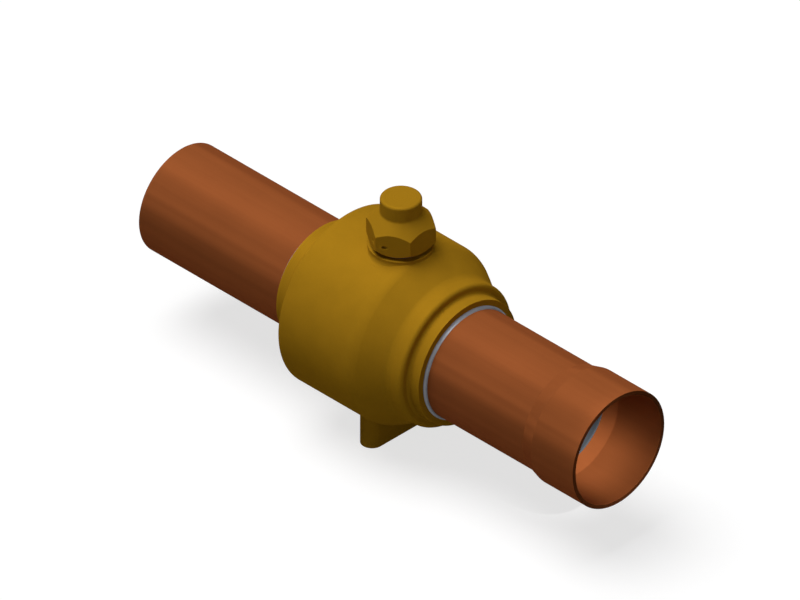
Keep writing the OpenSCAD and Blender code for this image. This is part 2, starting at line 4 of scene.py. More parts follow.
import bpy
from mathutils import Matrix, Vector


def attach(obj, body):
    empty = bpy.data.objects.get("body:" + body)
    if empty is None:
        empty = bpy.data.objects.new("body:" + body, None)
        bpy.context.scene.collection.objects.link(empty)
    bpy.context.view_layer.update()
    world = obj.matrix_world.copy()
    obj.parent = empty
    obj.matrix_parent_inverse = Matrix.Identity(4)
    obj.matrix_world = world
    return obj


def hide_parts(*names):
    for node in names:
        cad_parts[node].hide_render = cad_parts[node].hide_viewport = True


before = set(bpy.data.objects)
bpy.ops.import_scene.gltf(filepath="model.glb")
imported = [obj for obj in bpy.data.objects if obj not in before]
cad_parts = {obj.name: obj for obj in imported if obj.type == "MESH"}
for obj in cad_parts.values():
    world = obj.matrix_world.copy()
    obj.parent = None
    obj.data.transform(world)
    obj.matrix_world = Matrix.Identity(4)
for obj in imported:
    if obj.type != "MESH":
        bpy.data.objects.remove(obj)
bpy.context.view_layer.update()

MM = 0.001
AXIS_H = 55.0                 # height of the pipe axis above the foot's underside, in mm
AXIS = Vector((0, 0, AXIS_H * MM))
ALONG_PIPE = Vector((1, 0, 0))
UP_STEM = Vector((0, 0, 1))
STEPS, SMALL_STEPS, STEM_STEPS = 128, 96, 64     # faces round a turned piece
ARC_STEP = 0.2                # radians that one face of a rounded corner turns through at most
SAME_PLACE = 1e-6             # metres within which two points of an outline are one
SLIVER = 1e-7                 # metres within which two points of a cut shape are one
STRAIGHT = 0.99               # share of an edge's length that runs along an axis, if it is parallel to it

# Sizes in mm: x from the stem axis, heights above the pipe axis. They are the solids' own, but for the
# slopes of the swage
PIPE_R, PIPE_IR = 27.0, 25.0
STUB_SEAT_R, PIPE_SEAT_R = 26.7, 26.75
SOCKET_R, SOCKET_IR = 29.05, 27.05
OUTLET_REACH, INLET_REACH = 137.7, 139.0
SOCKET_FLOOR, SWAGE_ROOT, SWAGE_START, SWAGE_END = 110.6, 104.1, 103.9, 111.3
SLEEVE_R, SLEEVE_IR = 24.95, 24.0
FILLET_LEN, FILLET_RISE = 1.53, 1.1
BALL_R, PORT_R, CHAMBER_R, BODY_R = 36.0, 24.0, 37.5, 44.295
SEAT_SPHERE_R, SEAT_IR, SEAT_R = 36.25, 24.3, 30.2
SEAT_FRONT, SEAT_BACK, SPRING_D = 23.2, 29.3, 2.2
POCKET_FRONT, POCKET_BACK, POCKET_R = 23.05, 31.5, 30.25
SHOULDER_IR, OUTLET_STOP = 24.15, 33.5
NECK_END, HUB_FACE, HUB_R, NECK_R = 42.07, 35.35, 35.55, 31.0
CONE_START, CONE_END, CHAMBER_END = 12.28, 27.44, 10.46
BODY_LEFT, THREAD_START, PLUG_THREAD_R, PLUG_R = 33.7, 28.05, 38.95, 37.45
GROOVE_START, GROOVE_W, GROOVE_DEPTH = 24.35, 2.8, 2.1
FLANGE_R, FLANGE_END, PLUG_HEX_AF, PLUG_HEX_R, PLUG_HEX_END = 41.0, 35.7, 60.0, 33.0, 43.2
PLUG_NECK_R, PLUG_END, INLET_STOP = 29.1, 49.9, 41.33
PAD_R, PAD_Z, PAD_HOLLOW = 14.9, 44.5, 2.5
SPIGOT_R, RELIEF_R, RELIEF_TOP, SPIGOT_TOP = 10.0, 9.0, 46.1, 56.0
STEM_R, STEM_BORE_R, SHOULDER_R, WASHER_POCKET_R = 5.5, 5.55, 8.5, 8.8
TANG_FOOT, SHOULDER_FOOT, WASHER_FOOT, CEILING = 29.3, 36.4, 38.8, 39.95
LOWER_GROOVE, UPPER_GROOVE, STEM_GROOVE_W, STEM_GROOVE_R = 42.35, 46.95, 2.2, 3.9
PLATE_Z, PLATE_T, PLATE_R, CLIP_Z, CLIP_T, STEM_TOP = 56.3, 1.2, 9.0, 57.5, 0.9, 65.0
SQUARE, TANG_W, TANG_LEN = 7.6, 8.0, 14.2
PIN_R, PIN_ORBIT, PIN_FOOT = 1.0, 7.4, 50.0
CLIP_OPENING, CLIP_W, EAR_R = 32, 1.8, 1.08      # half the clip's opening in degrees, its width, its ears
MARK_HALF, MARK_DEPTH = 0.6, 1.2                 # slot across the stem's square that shows the ball's turn
CAP_Z, CAP_HEX_Z, CAP_CORNER_Z, KNOB_Z, CAP_TOP = 45.3, 46.3, 55.5, 62.17, 70.0
THREAD_BORE_R, SKIRT_R, CAP_HEX_AF, CAP_HEX_BEVEL, KNOB_R = 10.1, 12.1, 28.1, 2.1, 9.55
PLATE_ROOM_R, PLATE_ROOM_TOP, KNOB_IR, CROWN_Z = 9.3, 60.0, 6.6, 67.6
WIRE_R, WIRE_Y, WIRE_Z, WIRE_EDGE = 0.75, -14.02, 50.7, 0.25
FOOT_W, FOOT_LEN, FOOT_BORE_R, FOOT_BORE_Y, FOOT_BORE_DEPTH = 10.74, 47.4, 2.1, 17.0, 9.0
PITCH, THREAD_TURNS, THREAD_FOOT = 1.5, 5, 0.9   # thread of the cap, and its start above the relief
CAP_CREST_R, VENT_R = 9.2, 1.25                  # crests of the cap's thread, hole in the ball's slot
PLAY = 0.05                   # gap round a piece that moves or is put in
OVER = 1                      # how far a cutter passes the face that it cuts


# Drawing and turning

def at_pipe(x, radius):
    """Point of an outline that is turned about the pipe axis."""
    return Vector((x, 0, AXIS_H + radius)) * MM


def at_stem(radius, height):
    """Point of an outline that is turned about the stem axis."""
    return Vector((radius, 0, AXIS_H + height)) * MM


def select(piece, kind, test):
    """Selects, in edit mode, what passes the test among the piece's vertices, edges or faces."""
    bpy.ops.object.mode_set(mode="EDIT")
    bpy.ops.mesh.select_mode(type=kind)
    bpy.ops.mesh.select_all(action="DESELECT")
    bpy.ops.object.mode_set(mode="OBJECT")
    mesh = piece.data
    for item in {"VERT": mesh.vertices, "EDGE": mesh.edges, "FACE": mesh.polygons}[kind]:
        item.select = test(item)
    bpy.ops.object.mode_set(mode="EDIT")


def work_on(piece):
    """Makes one object the selected and active one."""
    bpy.ops.object.select_all(action="DESELECT")
    piece.select_set(True)
    bpy.context.view_layer.objects.active = piece


def draw(name, corners, closed):
    """Line of (place, rounding) corners, made by extruding one vertex from corner to corner."""
    bpy.ops.object.select_all(action="DESELECT")
    bpy.ops.mesh.primitive_plane_add(size=MM, location=corners[0][0])
    piece = bpy.context.object
    piece.name = name
    bpy.ops.object.mode_set(mode="EDIT")
    bpy.ops.mesh.select_mode(type="VERT")
    bpy.ops.mesh.select_all(action="SELECT")
    bpy.ops.mesh.merge(type="CENTER")
    for (here, _), (there, _) in zip(corners, corners[1:]):
        bpy.ops.mesh.extrude_region_move(TRANSFORM_OT_translate={"value": there - here})
    bpy.ops.object.mode_set(mode="OBJECT")
    bpy.ops.object.transform_apply(location=True, rotation=True, scale=True)
    if closed:
        ends = (corners[0][0], corners[-1][0])
        select(piece, "VERT", lambda v: min((v.co - end).length for end in ends) < SAME_PLACE)
        bpy.ops.mesh.edge_face_add()
    count = len(corners)
    for i, (place, rounding) in enumerate(corners):
        if rounding:
            back = (corners[i - 1][0] - place).normalized()
            ahead = (corners[(i + 1) % count][0] - place).normalized()
            half = back.angle(ahead) / 2
            steps = math.ceil(max((math.pi - 2 * half) / ARC_STEP, 1 + rounding / 2))
            reach = rounding * MM / math.tan(half)
            select(piece, "VERT", lambda v: (v.co - place).length < SAME_PLACE)
            bpy.ops.mesh.bevel(offset=reach, segments=steps, affect="VERTICES")
    bpy.ops.object.mode_set(mode="OBJECT")
    return piece


def turned(name, outline, about=ALONG_PIPE, side=1, closed=True, steps=STEPS):
    """Solid of revolution. Its outline is (x, radius[, rounding]) about the pipe, or (radius, height
    [, rounding]) about the stem. Side -1 turns x towards the inlet. An open outline starts and ends on
    its axis."""
    place = at_pipe if about is ALONG_PIPE else at_stem
    corners = [(place(c[0] * side, c[1]), c[2] if len(c) > 2 else 0) for c in outline]
    piece = draw(name, corners, closed)
    bpy.ops.object.mode_set(mode="EDIT")
    bpy.ops.mesh.select_all(action="SELECT")
    bpy.ops.mesh.spin(steps=steps, angle=2 * math.pi, center=AXIS, axis=about, use_auto_merge=True)
    tidy_mesh()
    return piece


def tidy_mesh():
    """Merges what lies together, points the faces outwards and leaves edit mode."""
    bpy.ops.mesh.select_all(action="SELECT")
    bpy.ops.mesh.remove_doubles(threshold=SAME_PLACE)
    bpy.ops.mesh.normals_make_consistent(inside=False)
    bpy.ops.object.mode_set(mode="OBJECT")


def block(name, low, high, corner=0):
    """Box between two points in mm, heights from the pipe axis, with its upright edges rounded."""
    middle = [(a + b) / 2 * MM for a, b in zip(low, high)]
    bpy.ops.object.select_all(action="DESELECT")
    bpy.ops.mesh.primitive_cube_add(size=1, location=Vector(middle) + AXIS)
    piece = bpy.context.object
    piece.name = name
    piece.scale = [(b - a) * MM for a, b in zip(low, high)]
    bpy.ops.object.transform_apply(location=True, rotation=True, scale=True)
    if corner:
        select(piece, "EDGE", lambda e: upright(piece, e))
        bpy.ops.mesh.bevel(offset=corner * MM, segments=16)
        bpy.ops.object.mode_set(mode="OBJECT")
    return piece


def upright(piece, edge):
    """True for an edge that runs along Z."""
    a, b = (piece.data.vertices[i].co for i in edge.vertices)
    return abs(b.z - a.z) > STRAIGHT * (b - a).length


def rod(name, radius, low, high, x=0, y=0, along="Z", sides=48):
    """Round or many-sided bar along Z or X, between two places in mm."""
    middle = (low + high) / 2
    place = Vector((x, y, middle)) if along == "Z" else Vector((middle, x, y))
    turn = (0, 0, 0) if along == "Z" else (0, math.pi / 2, 0)
    bpy.ops.object.select_all(action="DESELECT")
    bpy.ops.mesh.primitive_cylinder_add(
        vertices=sides, radius=radius * MM, depth=(high - low) * MM, location=place * MM + AXIS,
        rotation=turn)
    piece = bpy.context.object
    piece.name = name
    bpy.ops.object.transform_apply(location=True, rotation=True, scale=True)
    return piece


def combine(piece, other, operation="UNION"):
    """Joins, cuts or crosses the piece with another one, which is used up."""
    work_on(piece)
    bpy.ops.object.modifier_add(type="BOOLEAN")
    modifier = piece.modifiers[-1]
    modifier.operation = operation
    modifier.solver = "EXACT"
    modifier.object = other
    bpy.ops.object.modifier_apply(modifier=modifier.name)
    bpy.data.objects.remove(other)
    return piece


def cut(piece, *cutters):
    """Takes the cutters out of the piece."""
    for cutter in cutters:
        combine(piece, cutter, "DIFFERENCE")
    return piece


def bevelled(piece, width, angle=30, segments=2):
    """Breaks the sharp edges of a finished shape."""
    work_on(piece)
    bpy.ops.object.modifier_add(type="BEVEL")
    modifier = piece.modifiers[-1]
    modifier.width = width * MM
    modifier.segments = segments
    modifier.limit_method = "ANGLE"
    modifier.angle_limit = math.radians(angle)
    modifier.harden_normals = False
    bpy.ops.object.modifier_apply(modifier=modifier.name)
    return piece


def thread_ridge(name, root_r, crest_r, root_half, crest_half, start):
    """Ridge of a right-hand thread round the stem axis, closed at both ends."""
    corners = [(at_stem(root_r, start - root_half), 0), (at_stem(crest_r, start - crest_half), 0),
               (at_stem(crest_r, start + crest_half), 0), (at_stem(root_r, start + root_half), 0)]
    piece = draw(name, corners, True)
    bpy.ops.object.modifier_add(type="SCREW")
    modifier = piece.modifiers[-1]
    modifier.axis = "Z"
    modifier.screw_offset = PITCH * MM
    modifier.iterations = THREAD_TURNS
    modifier.steps = modifier.render_steps = 72
    modifier.use_merge_vertices = False
    bpy.ops.object.modifier_apply(modifier=modifier.name)
    bpy.ops.object.mode_set(mode="EDIT")
    bpy.ops.mesh.select_all(action="SELECT")
    bpy.ops.mesh.fill_holes(sides=0)
    tidy_mesh()
    return piece


def join(piece, *others):
    """Puts the others' meshes into the piece's mesh."""
    work_on(piece)
    for other in others:
        other.select_set(True)
    bpy.ops.object.join()
    return piece


def place(piece, material, body, slot, *nodes, smooth=30):
    """Finishes a piece: its last doubles, smoothing, material, body and the nodes it stands for. The slot is
    not used.
    """
    work_on(piece)
    bpy.ops.object.mode_set(mode="EDIT")
    bpy.ops.mesh.select_all(action="SELECT")
    bpy.ops.mesh.remove_doubles(threshold=SLIVER)
    bpy.ops.object.mode_set(mode="OBJECT")
    bpy.ops.object.shade_smooth_by_angle(angle=math.radians(smooth))
    bpy.ops.object.modifier_add(type="WEIGHTED_NORMAL")
    modifier = piece.modifiers[-1]
    modifier.keep_sharp = True
    bpy.ops.object.modifier_apply(modifier=modifier.name)
    piece.data.materials.clear()
    piece.data.materials.append(material)
    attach(piece, body)
    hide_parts(*nodes)
    return piece


# Node groups that several materials share

def node(tree, kind, **values):
    """Adds a node, setting its properties and, by name or number, its input sockets."""
    made = tree.nodes.new(kind)
    for key, value in values.items():
        if key.startswith("in_"):
            name = key[3:]
            socket = made.inputs[int(name) if name.isdigit() else name.replace("_", " ")]
            if isinstance(value, bpy.types.NodeSocket):
                tree.links.new(value, socket)
            else:
                socket.default_value = value
        else:
            setattr(made, key, value)
    return made


def new_group(name, inputs, outputs):
    """Shader group with (name, default) inputs and named float outputs."""
    tree = bpy.data.node_groups.new(name, "ShaderNodeTree")
    for label, default in inputs:
        kind = "NodeSocketFloat" if isinstance(default, (int, float)) else "NodeSocketVector"
        socket = tree.interface.new_socket(label, in_out="INPUT", socket_type=kind)
        socket.default_value = default
    for label in outputs:
        tree.interface.new_socket(label, in_out="OUTPUT", socket_type="NodeSocketFloat")
    return tree, node(tree, "NodeGroupInput").outputs, node(tree, "NodeGroupOutput").inputs


def math_node(tree, operation, a, b=0.0):
    """Result of a Math node on two values or sockets."""
    return node(tree, "ShaderNodeMath", operation=operation, in_0=a, in_1=b).outputs[0]


def make_grain():
    """Fine grain over broad unevenness, as on blasted, forged or cast metal."""
    tree, given, out = new_group("grain", [("Fine scale", 900.0), ("Broad scale", 90.0)], ["Height", "Tone"])
    coords = node(tree, "ShaderNodeTexCoord").outputs["Object"]
    fine = node(tree, "ShaderNodeTexNoise", in_Vector=coords, in_Scale=given["Fine scale"], in_Detail=4.0,
                in_Roughness=0.6).outputs["Fac"]
    broad = node(tree, "ShaderNodeTexNoise", in_Vector=coords, in_Scale=given["Broad scale"], in_Detail=3.0,
                 in_Roughness=0.5).outputs["Fac"]
    weak = math_node(tree, "MULTIPLY", fine, 0.35)
    tree.links.new(math_node(tree, "ADD", weak, math_node(tree, "MULTIPLY", broad, 0.65)), out["Height"])
    tree.links.new(math_node(tree, "ADD", math_node(tree, "MULTIPLY", fine, 0.4),
                             math_node(tree, "MULTIPLY", broad, 0.6)), out["Tone"])
    return tree


def make_marks():
    """Tool marks of turning: fine rings about an axis, on sides and faces alike."""
    tree, given, out = new_group("turning marks", [("Axis", (1.0, 0.0, 0.0)), ("Pitch", 0.0006)],
                                 ["Height", "Tone"])
    coords = node(tree, "ShaderNodeTexCoord").outputs["Object"]
    centred = node(tree, "ShaderNodeVectorMath", operation="SUBTRACT", in_0=coords, in_1=AXIS).outputs[0]
    along = node(tree, "ShaderNodeVectorMath", operation="DOT_PRODUCT", in_0=centred,
                 in_1=given["Axis"]).outputs["Value"]
    across = node(tree, "ShaderNodeVectorMath", operation="CROSS_PRODUCT", in_0=centred,
                  in_1=given["Axis"]).outputs[0]
    radius = node(tree, "ShaderNodeVectorMath", operation="LENGTH", in_0=across).outputs["Value"]
    run = math_node(tree, "DIVIDE", math_node(tree, "ADD", along, radius), given["Pitch"])
    wander = node(tree, "ShaderNodeTexNoise", noise_dimensions="1D", in_W=run, in_Scale=1.0, in_Detail=3.0,
                  in_Roughness=0.7).outputs["Fac"]
    wave = math_node(tree, "SINE", math_node(tree, "MULTIPLY", run, 2 * math.pi))
    tree.links.new(math_node(tree, "ADD", math_node(tree, "MULTIPLY", wave, 0.15), wander), out["Height"])
    tree.links.new(wander, out["Tone"])
    return tree


BAND_STEP = -0.15             # turn in radians by which the swage's slope shifts the painted reflection bands
# Painted reflection on the copper: light and dark bands of tone round the tube at fixed angles, by degrees
# from the top towards the front
PAINTED_REFLECTION_BANDS = [
    (-180, 0.5), (-150, 0.35), (-130, 0.55), (-105, 0.4), (-85, 0.55), (-60, 0.45), (-35, 0.4), (-20, 0.3),
    (-12, 0.58), (0, 0.5), (25, 0.5), (36, 0.28), (46, 0.3), (55, 0.52), (60, 0.28), (65, 0.42), (75, 0.05),
    (85, 0.12), (97, 0.5), (110, 0.8), (130, 0.6), (155, 0.4), (180, 0.5)]


def make_streaks_and_reflection_bands():
    """Streaks that drawing a tube leaves along its length, with long bands of painted reflection at fixed
    angles round it.
    """
    tree, given, out = new_group(
        "drawn streaks and painted reflection bands", [("Scale", 420.0), ("Swage start", 1.0), ("Swage end", 1.1)], ["Height", "Tone"])
    coords = node(tree, "ShaderNodeTexCoord").outputs["Object"]
    stretched = node(tree, "ShaderNodeMapping", in_Vector=coords, in_Scale=(0.03, 1.0, 1.0)).outputs[0]
    fine = node(tree, "ShaderNodeTexNoise", in_Vector=stretched, in_Scale=given["Scale"], in_Detail=5.0,
                in_Roughness=0.65).outputs["Fac"]
    broad = node(tree, "ShaderNodeTexNoise", in_Vector=coords, in_Scale=26.0, in_Detail=3.0).outputs["Fac"]
    centred = node(tree, "ShaderNodeVectorMath", operation="SUBTRACT", in_0=coords, in_1=AXIS).outputs[0]
    around = node(tree, "ShaderNodeSeparateXYZ", in_Vector=centred).outputs
    turn = math_node(tree, "ARCTAN2", math_node(tree, "MULTIPLY", around["Y"], -1.0), around["Z"])
    beyond = math_node(tree, "GREATER_THAN", around["X"], given["Swage start"])
    slope = math_node(tree, "MULTIPLY", beyond, math_node(tree, "LESS_THAN", around["X"], given["Swage end"]))
    turn = math_node(tree, "ADD", turn, math_node(tree, "MULTIPLY", slope, BAND_STEP))
    # Painted reflection: tone by angle round the tube, shifted on the swage's slope
    share = node(tree, "ShaderNodeMapRange", in_Value=turn, in_From_Min=-math.pi,
                 in_From_Max=math.pi).outputs[0]
    bands = node(tree, "ShaderNodeValToRGB", in_Fac=share)
    ramp = bands.color_ramp
    ramp.interpolation = "EASE"
    for stop in PAINTED_REFLECTION_BANDS[1:-1]:
        ramp.elements.new((stop[0] + 180) / 360)
    for element, (_, tone) in zip(ramp.elements, PAINTED_REFLECTION_BANDS):
        element.color = (tone, tone, tone, 1)
    tree.links.new(fine, out["Height"])
    scatter = math_node(tree, "ADD", math_node(tree, "MULTIPLY", fine, 0.5),
                        math_node(tree, "MULTIPLY", broad, 0.5))
    scatter = math_node(tree, "MULTIPLY", math_node(tree, "SUBTRACT", scatter, 0.5), 0.25)
    spread = math_node(tree, "ADD", math_node(tree, "MULTIPLY", bands.outputs["Color"], 0.4), 0.3)
    tree.links.new(math_node(tree, "ADD", spread, scatter), out["Tone"])
    return tree


def make_cut_end():
    """1 on the sawn end of a tube, beyond a distance from the stem axis, where shade is painted on it."""
    tree, given, out = new_group("cut end", [("Distance", 0.1)], ["Mask"])
    coords = node(tree, "ShaderNodeTexCoord").outputs["Object"]
    along = node(tree, "ShaderNodeSeparateXYZ", in_Vector=coords).outputs["X"]
    away = math_node(tree, "ABSOLUTE", along)
    tree.links.new(math_node(tree, "GREATER_THAN", away, given["Distance"]), out["Mask"])
    return tree


def make_wear_and_hollow_shade():
    """Bright rubbed edges broken up by patches of handling, and painted shade in hollows from local
    occlusion.
    """
    inputs = [("Edge width", 0.0008), ("Hollow width", 0.003), ("Breakup", 300.0)]
    tree, given, out = new_group("edge wear and hollow shade", inputs, ["Edge", "Hollow"])
    coords = node(tree, "ShaderNodeTexCoord").outputs["Object"]
    patch = node(tree, "ShaderNodeTexNoise", in_Vector=coords, in_Scale=given["Breakup"],
                 in_Detail=3.0).outputs["Fac"]
    inner = node(tree, "ShaderNodeAmbientOcclusion", inside=True, only_local=True, samples=6,
                 in_Distance=given["Edge width"]).outputs["AO"]
    # Occlusion round the point, which paints shade into hollows
    outer = node(tree, "ShaderNodeAmbientOcclusion", only_local=True, samples=6,
                 in_Distance=given["Hollow width"]).outputs["AO"]
    edge = node(tree, "ShaderNodeMapRange", in_Value=inner, in_From_Min=0.95, in_From_Max=0.5).outputs[0]
    hollow = node(tree, "ShaderNodeMapRange", in_Value=outer, in_From_Min=0.9, in_From_Max=0.4).outputs[0]
    tree.links.new(math_node(tree, "MULTIPLY", edge, patch), out["Edge"])
    tree.links.new(hollow, out["Hollow"])
    return tree


GROUPS = {"grain": make_grain(), "marks": make_marks(), "streaks_and_reflection_bands": make_streaks_and_reflection_bands(), "wear_and_shade": make_wear_and_hollow_shade(),
          "cut": make_cut_end()}


# Materials

RUBBED, HOLLOW_SHADE, END_SHADE = 1.5, 0.7, 0.3             # tone of worn edges, of painted shade in hollows and of painted shade on a tube's sawn end


def shaded(colour, factor):
    """A colour made darker or lighter by a factor, as the shader wants it."""
    return [c * factor for c in colour] + [1.0]


def mixed(tree, amount, under, over):
    """Result of a colour mix."""
    return node(tree, "ShaderNodeMix", data_type="RGBA", in_0=amount, in_6=under, in_7=over).outputs[2]


def finish(name, colour, pattern, settings, metallic=0.08, rough=(0.45, 0.6), spread=0.12, depth=0.03,
           wear_and_shade=0.0, specular=0.0, shaded_end_at=None):
    """Metal, plastic or rubber whose tone, roughness and relief all follow one of the shared patterns. Spread
    is how far its tone strays, depth the relief in mm, the wear amount how much edges are rubbed bright and
    hollows get painted shade, and the end distance in mm where a tube's sawn end begins, which gets painted
    shade."""
    material = bpy.data.materials.new(name)
    material.use_nodes = True
    tree = material.node_tree
    shader = tree.nodes["Principled BSDF"]
    shader.inputs["Metallic"].default_value = metallic
    shader.inputs["Specular IOR Level"].default_value = specular
    if metallic:
        shader.inputs["Specular Tint"].default_value = [c / max(colour) for c in colour] + [1.0]
    texture = node(tree, "ShaderNodeGroup", node_tree=GROUPS[pattern])
    for label, value in settings.items():
        texture.inputs[label].default_value = value
    tone = node(tree, "ShaderNodeMapRange", in_Value=texture.outputs["Tone"], in_From_Min=0.3,
                in_From_Max=0.7).outputs[0]
    base = mixed(tree, tone, shaded(colour, 1 - spread), shaded(colour, 1 + spread))
    if wear_and_shade:
        edge_and_hollow = node(tree, "ShaderNodeGroup", node_tree=GROUPS["wear_and_shade"])
        # Rubbed edges are made lighter, and hollows darker as painted shade
        for marked_place, tint in (("Edge", RUBBED), ("Hollow", HOLLOW_SHADE)):
            amount = math_node(tree, "MULTIPLY", edge_and_hollow.outputs[marked_place], wear_and_shade)
            base = mixed(tree, amount, base, shaded(colour, tint))
    # The sawn end face is darkened as painted shade
    if shaded_end_at:
        end_face = node(tree, "ShaderNodeGroup", node_tree=GROUPS["cut"], in_Distance=shaded_end_at * MM)
        base = mixed(tree, end_face.outputs["Mask"], base, shaded(colour, END_SHADE))
    tree.links.new(base, shader.inputs["Base Color"])
    node_rough = node(tree, "ShaderNodeMapRange", in_Value=tone, in_To_Min=rough[0], in_To_Max=rough[1])
    tree.links.new(node_rough.outputs[0], shader.inputs["Roughness"])
    bump = node(tree, "ShaderNodeBump", in_Strength=1.0, in_Distance=depth * MM,
                in_Height=texture.outputs["Height"])
    tree.links.new(bump.outputs["Normal"], shader.inputs["Normal"])
    return material


BRASS = (0.38, 0.194, 0.0097)
COPPER = (0.315, 0.089, 0.026)
PIPE_MARKS = {"Axis": (1.0, 0.0, 0.0), "Pitch": 0.0007}
STEM_MARKS = {"Axis": (0.0, 0.0, 1.0), "Pitch": 0.0006}

# The wear amount rubs edges bright and paints shade into hollows
forged_brass = finish("forged brass", BRASS, "grain", {"Fine scale": 900.0, "Broad scale": 110.0},
                      rough=(0.48, 0.6), spread=0.06, depth=0.05, wear_and_shade=0.5)
turned_brass = finish("turned brass", BRASS, "marks", PIPE_MARKS, rough=(0.4, 0.52), spread=0.06, depth=0.008,
                      wear_and_shade=0.5)
cap_brass = finish("cap brass", BRASS, "marks", STEM_MARKS, rough=(0.4, 0.52), spread=0.05, depth=0.006,
                   wear_and_shade=0.5)
STREAKS = {"Scale": 420.0}
SWAGED_STREAKS_AND_BANDS = {"Scale": 420.0, "Swage start": SWAGE_ROOT * MM, "Swage end": SWAGE_END * MM}
# Both copper finishes carry painted reflection bands round the tube and painted shade on the sawn end
drawn_copper = finish("drawn copper", COPPER, "streaks_and_reflection_bands", STREAKS, rough=(0.42, 0.55), spread=0.3, depth=0.006,
                      wear_and_shade=0.3, shaded_end_at=INLET_REACH - 0.1)
swaged_copper = finish("swaged copper", COPPER, "streaks_and_reflection_bands", SWAGED_STREAKS_AND_BANDS, rough=(0.42, 0.55), spread=0.3,
                       depth=0.006, wear_and_shade=0.3, shaded_end_at=OUTLET_REACH - 0.1)
# The sleeves' steel is made far darker than bare steel: painted shade on the sleeve's end seen inside the
# mouth
shaded_sleeve_steel = finish("sleeve steel with painted shade", (0.09, 0.105, 0.12), "marks", PIPE_MARKS, rough=(0.4, 0.55),
                    spread=0.08, depth=0.006)
silver_braze = finish("silver braze", (0.26, 0.27, 0.3), "grain", {"Fine scale": 500.0, "Broad scale": 160.0},
                      metallic=0.4, rough=(0.3, 0.5), spread=0.15, depth=0.08)
plating = finish("ball plating", (0.62, 0.63, 0.65), "grain", {"Fine scale": 700.0, "Broad scale": 30.0},
                 metallic=1.0, rough=(0.12, 0.2), spread=0.04, depth=0.002)
stem_steel = finish("stem steel", (0.4, 0.41, 0.42), "marks", STEM_MARKS, metallic=0.8, rough=(0.3, 0.42),
                    spread=0.08, depth=0.005, wear_and_shade=0.4)
clip_steel = finish("blackened clip", (0.045, 0.045, 0.05), "grain",
                    {"Fine scale": 1200.0, "Broad scale": 200.0}, metallic=0.5, rough=(0.35, 0.5), spread=0.2,
                    depth=0.01, wear_and_shade=0.4)
waxy_plastic = finish("seat plastic", (0.8, 0.8, 0.76), "grain", {"Fine scale": 600.0, "Broad scale": 60.0},
                      metallic=0.0, rough=(0.35, 0.5), spread=0.03, depth=0.01, specular=0.4)
rubber = finish("black rubber", (0.02, 0.02, 0.022), "grain", {"Fine scale": 1500.0, "Broad scale": 150.0},
                metallic=0.0, rough=(0.5, 0.7), spread=0.15, depth=0.01, specular=0.3)
gasket_grey = finish("gasket", (0.2, 0.21, 0.22), "grain", {"Fine scale": 1600.0, "Broad scale": 250.0},
                     metallic=0.0, rough=(0.6, 0.8), spread=0.12, depth=0.02)


# Body: barrel, boss, spigot and foot in one forging

def make_body():
    body = turned("body_shell", [
        (-BODY_LEFT, 0), (-BODY_LEFT, BODY_R, 0.6), (CONE_START, BODY_R, 12), (CONE_END, HUB_R, 8),
        (HUB_FACE, HUB_R, 2), (HUB_FACE, NECK_R, 1.5), (NECK_END, NECK_R, 0.15), (NECK_END, 0)], closed=False)
    flank_z = math.sqrt(BODY_R ** 2 - PAD_R ** 2)
    flank_fall = PAD_HOLLOW * PAD_R / flank_z
    pad = turned("pad", [
        (0, CHAMBER_R + OVER), (PAD_R + PAD_HOLLOW, CHAMBER_R + OVER),
        (PAD_R + PAD_HOLLOW, flank_z - flank_fall),
        (PAD_R, flank_z, PAD_HOLLOW), (PAD_R, PAD_Z, 0.15), (0, PAD_Z)], about=UP_STEM, closed=False)
    # Its middle is left open, well inside the stem's bore, so that the bore's cut leaves no disc across it
    spigot = turned("spigot", [
        (STEM_BORE_R - 2, CHAMBER_R + 2), (RELIEF_R, CHAMBER_R + 2), (RELIEF_R, RELIEF_TOP),
        (RELIEF_R + 0.1, RELIEF_TOP + 0.1), (RELIEF_R + 0.1, SPIGOT_TOP - 0.3), (RELIEF_R - 0.2, SPIGOT_TOP),
        (STEM_BORE_R - 2, SPIGOT_TOP)], about=UP_STEM)
    foot = block("foot", (-FOOT_W / 2, -FOOT_LEN / 2, -AXIS_H), (FOOT_W / 2, FOOT_LEN / 2, -CHAMBER_R - 1),
                 corner=FOOT_W / 2 - 0.01)
    for part in (pad, spigot, foot):
        combine(body, part)
    inside = turned("inside", [
        (-BODY_LEFT - OVER, 0), (-BODY_LEFT - OVER, PLUG_THREAD_R + PLAY),
        (-THREAD_START, PLUG_THREAD_R + PLAY), (-THREAD_START, CHAMBER_R), (CHAMBER_END, CHAMBER_R),
        (POCKET_FRONT, POCKET_R),
        (POCKET_BACK, POCKET_R), (POCKET_BACK, SHOULDER_IR), (OUTLET_STOP, SHOULDER_IR),
        (OUTLET_STOP, PIPE_SEAT_R), (NECK_END + OVER, PIPE_SEAT_R), (NECK_END + OVER, 0)], closed=False)
    bore = turned("bore", [
        (0, 0), (WASHER_POCKET_R, 0), (WASHER_POCKET_R, CEILING), (STEM_BORE_R, CEILING),
        (STEM_BORE_R, SPIGOT_TOP + OVER), (0, SPIGOT_TOP + OVER)], about=UP_STEM, closed=False,
        steps=STEM_STEPS)
    pin_hole = rod("pin_hole", PIN_R, PIN_FOOT, SPIGOT_TOP + OVER, x=PIN_ORBIT, sides=32)
    screw_holes = [rod("screw_hole", FOOT_BORE_R, -AXIS_H - OVER, -AXIS_H + FOOT_BORE_DEPTH,
                       y=side * FOOT_BORE_Y) for side in (-1, 1)]
    cut(body, inside, bore, pin_hole, *screw_holes)
    join(body, thread_ridge("spigot_thread", RELIEF_R, SPIGOT_R - 0.03, root_half=0.66, crest_half=0.12,
                            start=RELIEF_TOP + THREAD_FOOT))
    place(body, forged_brass, "valve", "body_brass", "valve_body")


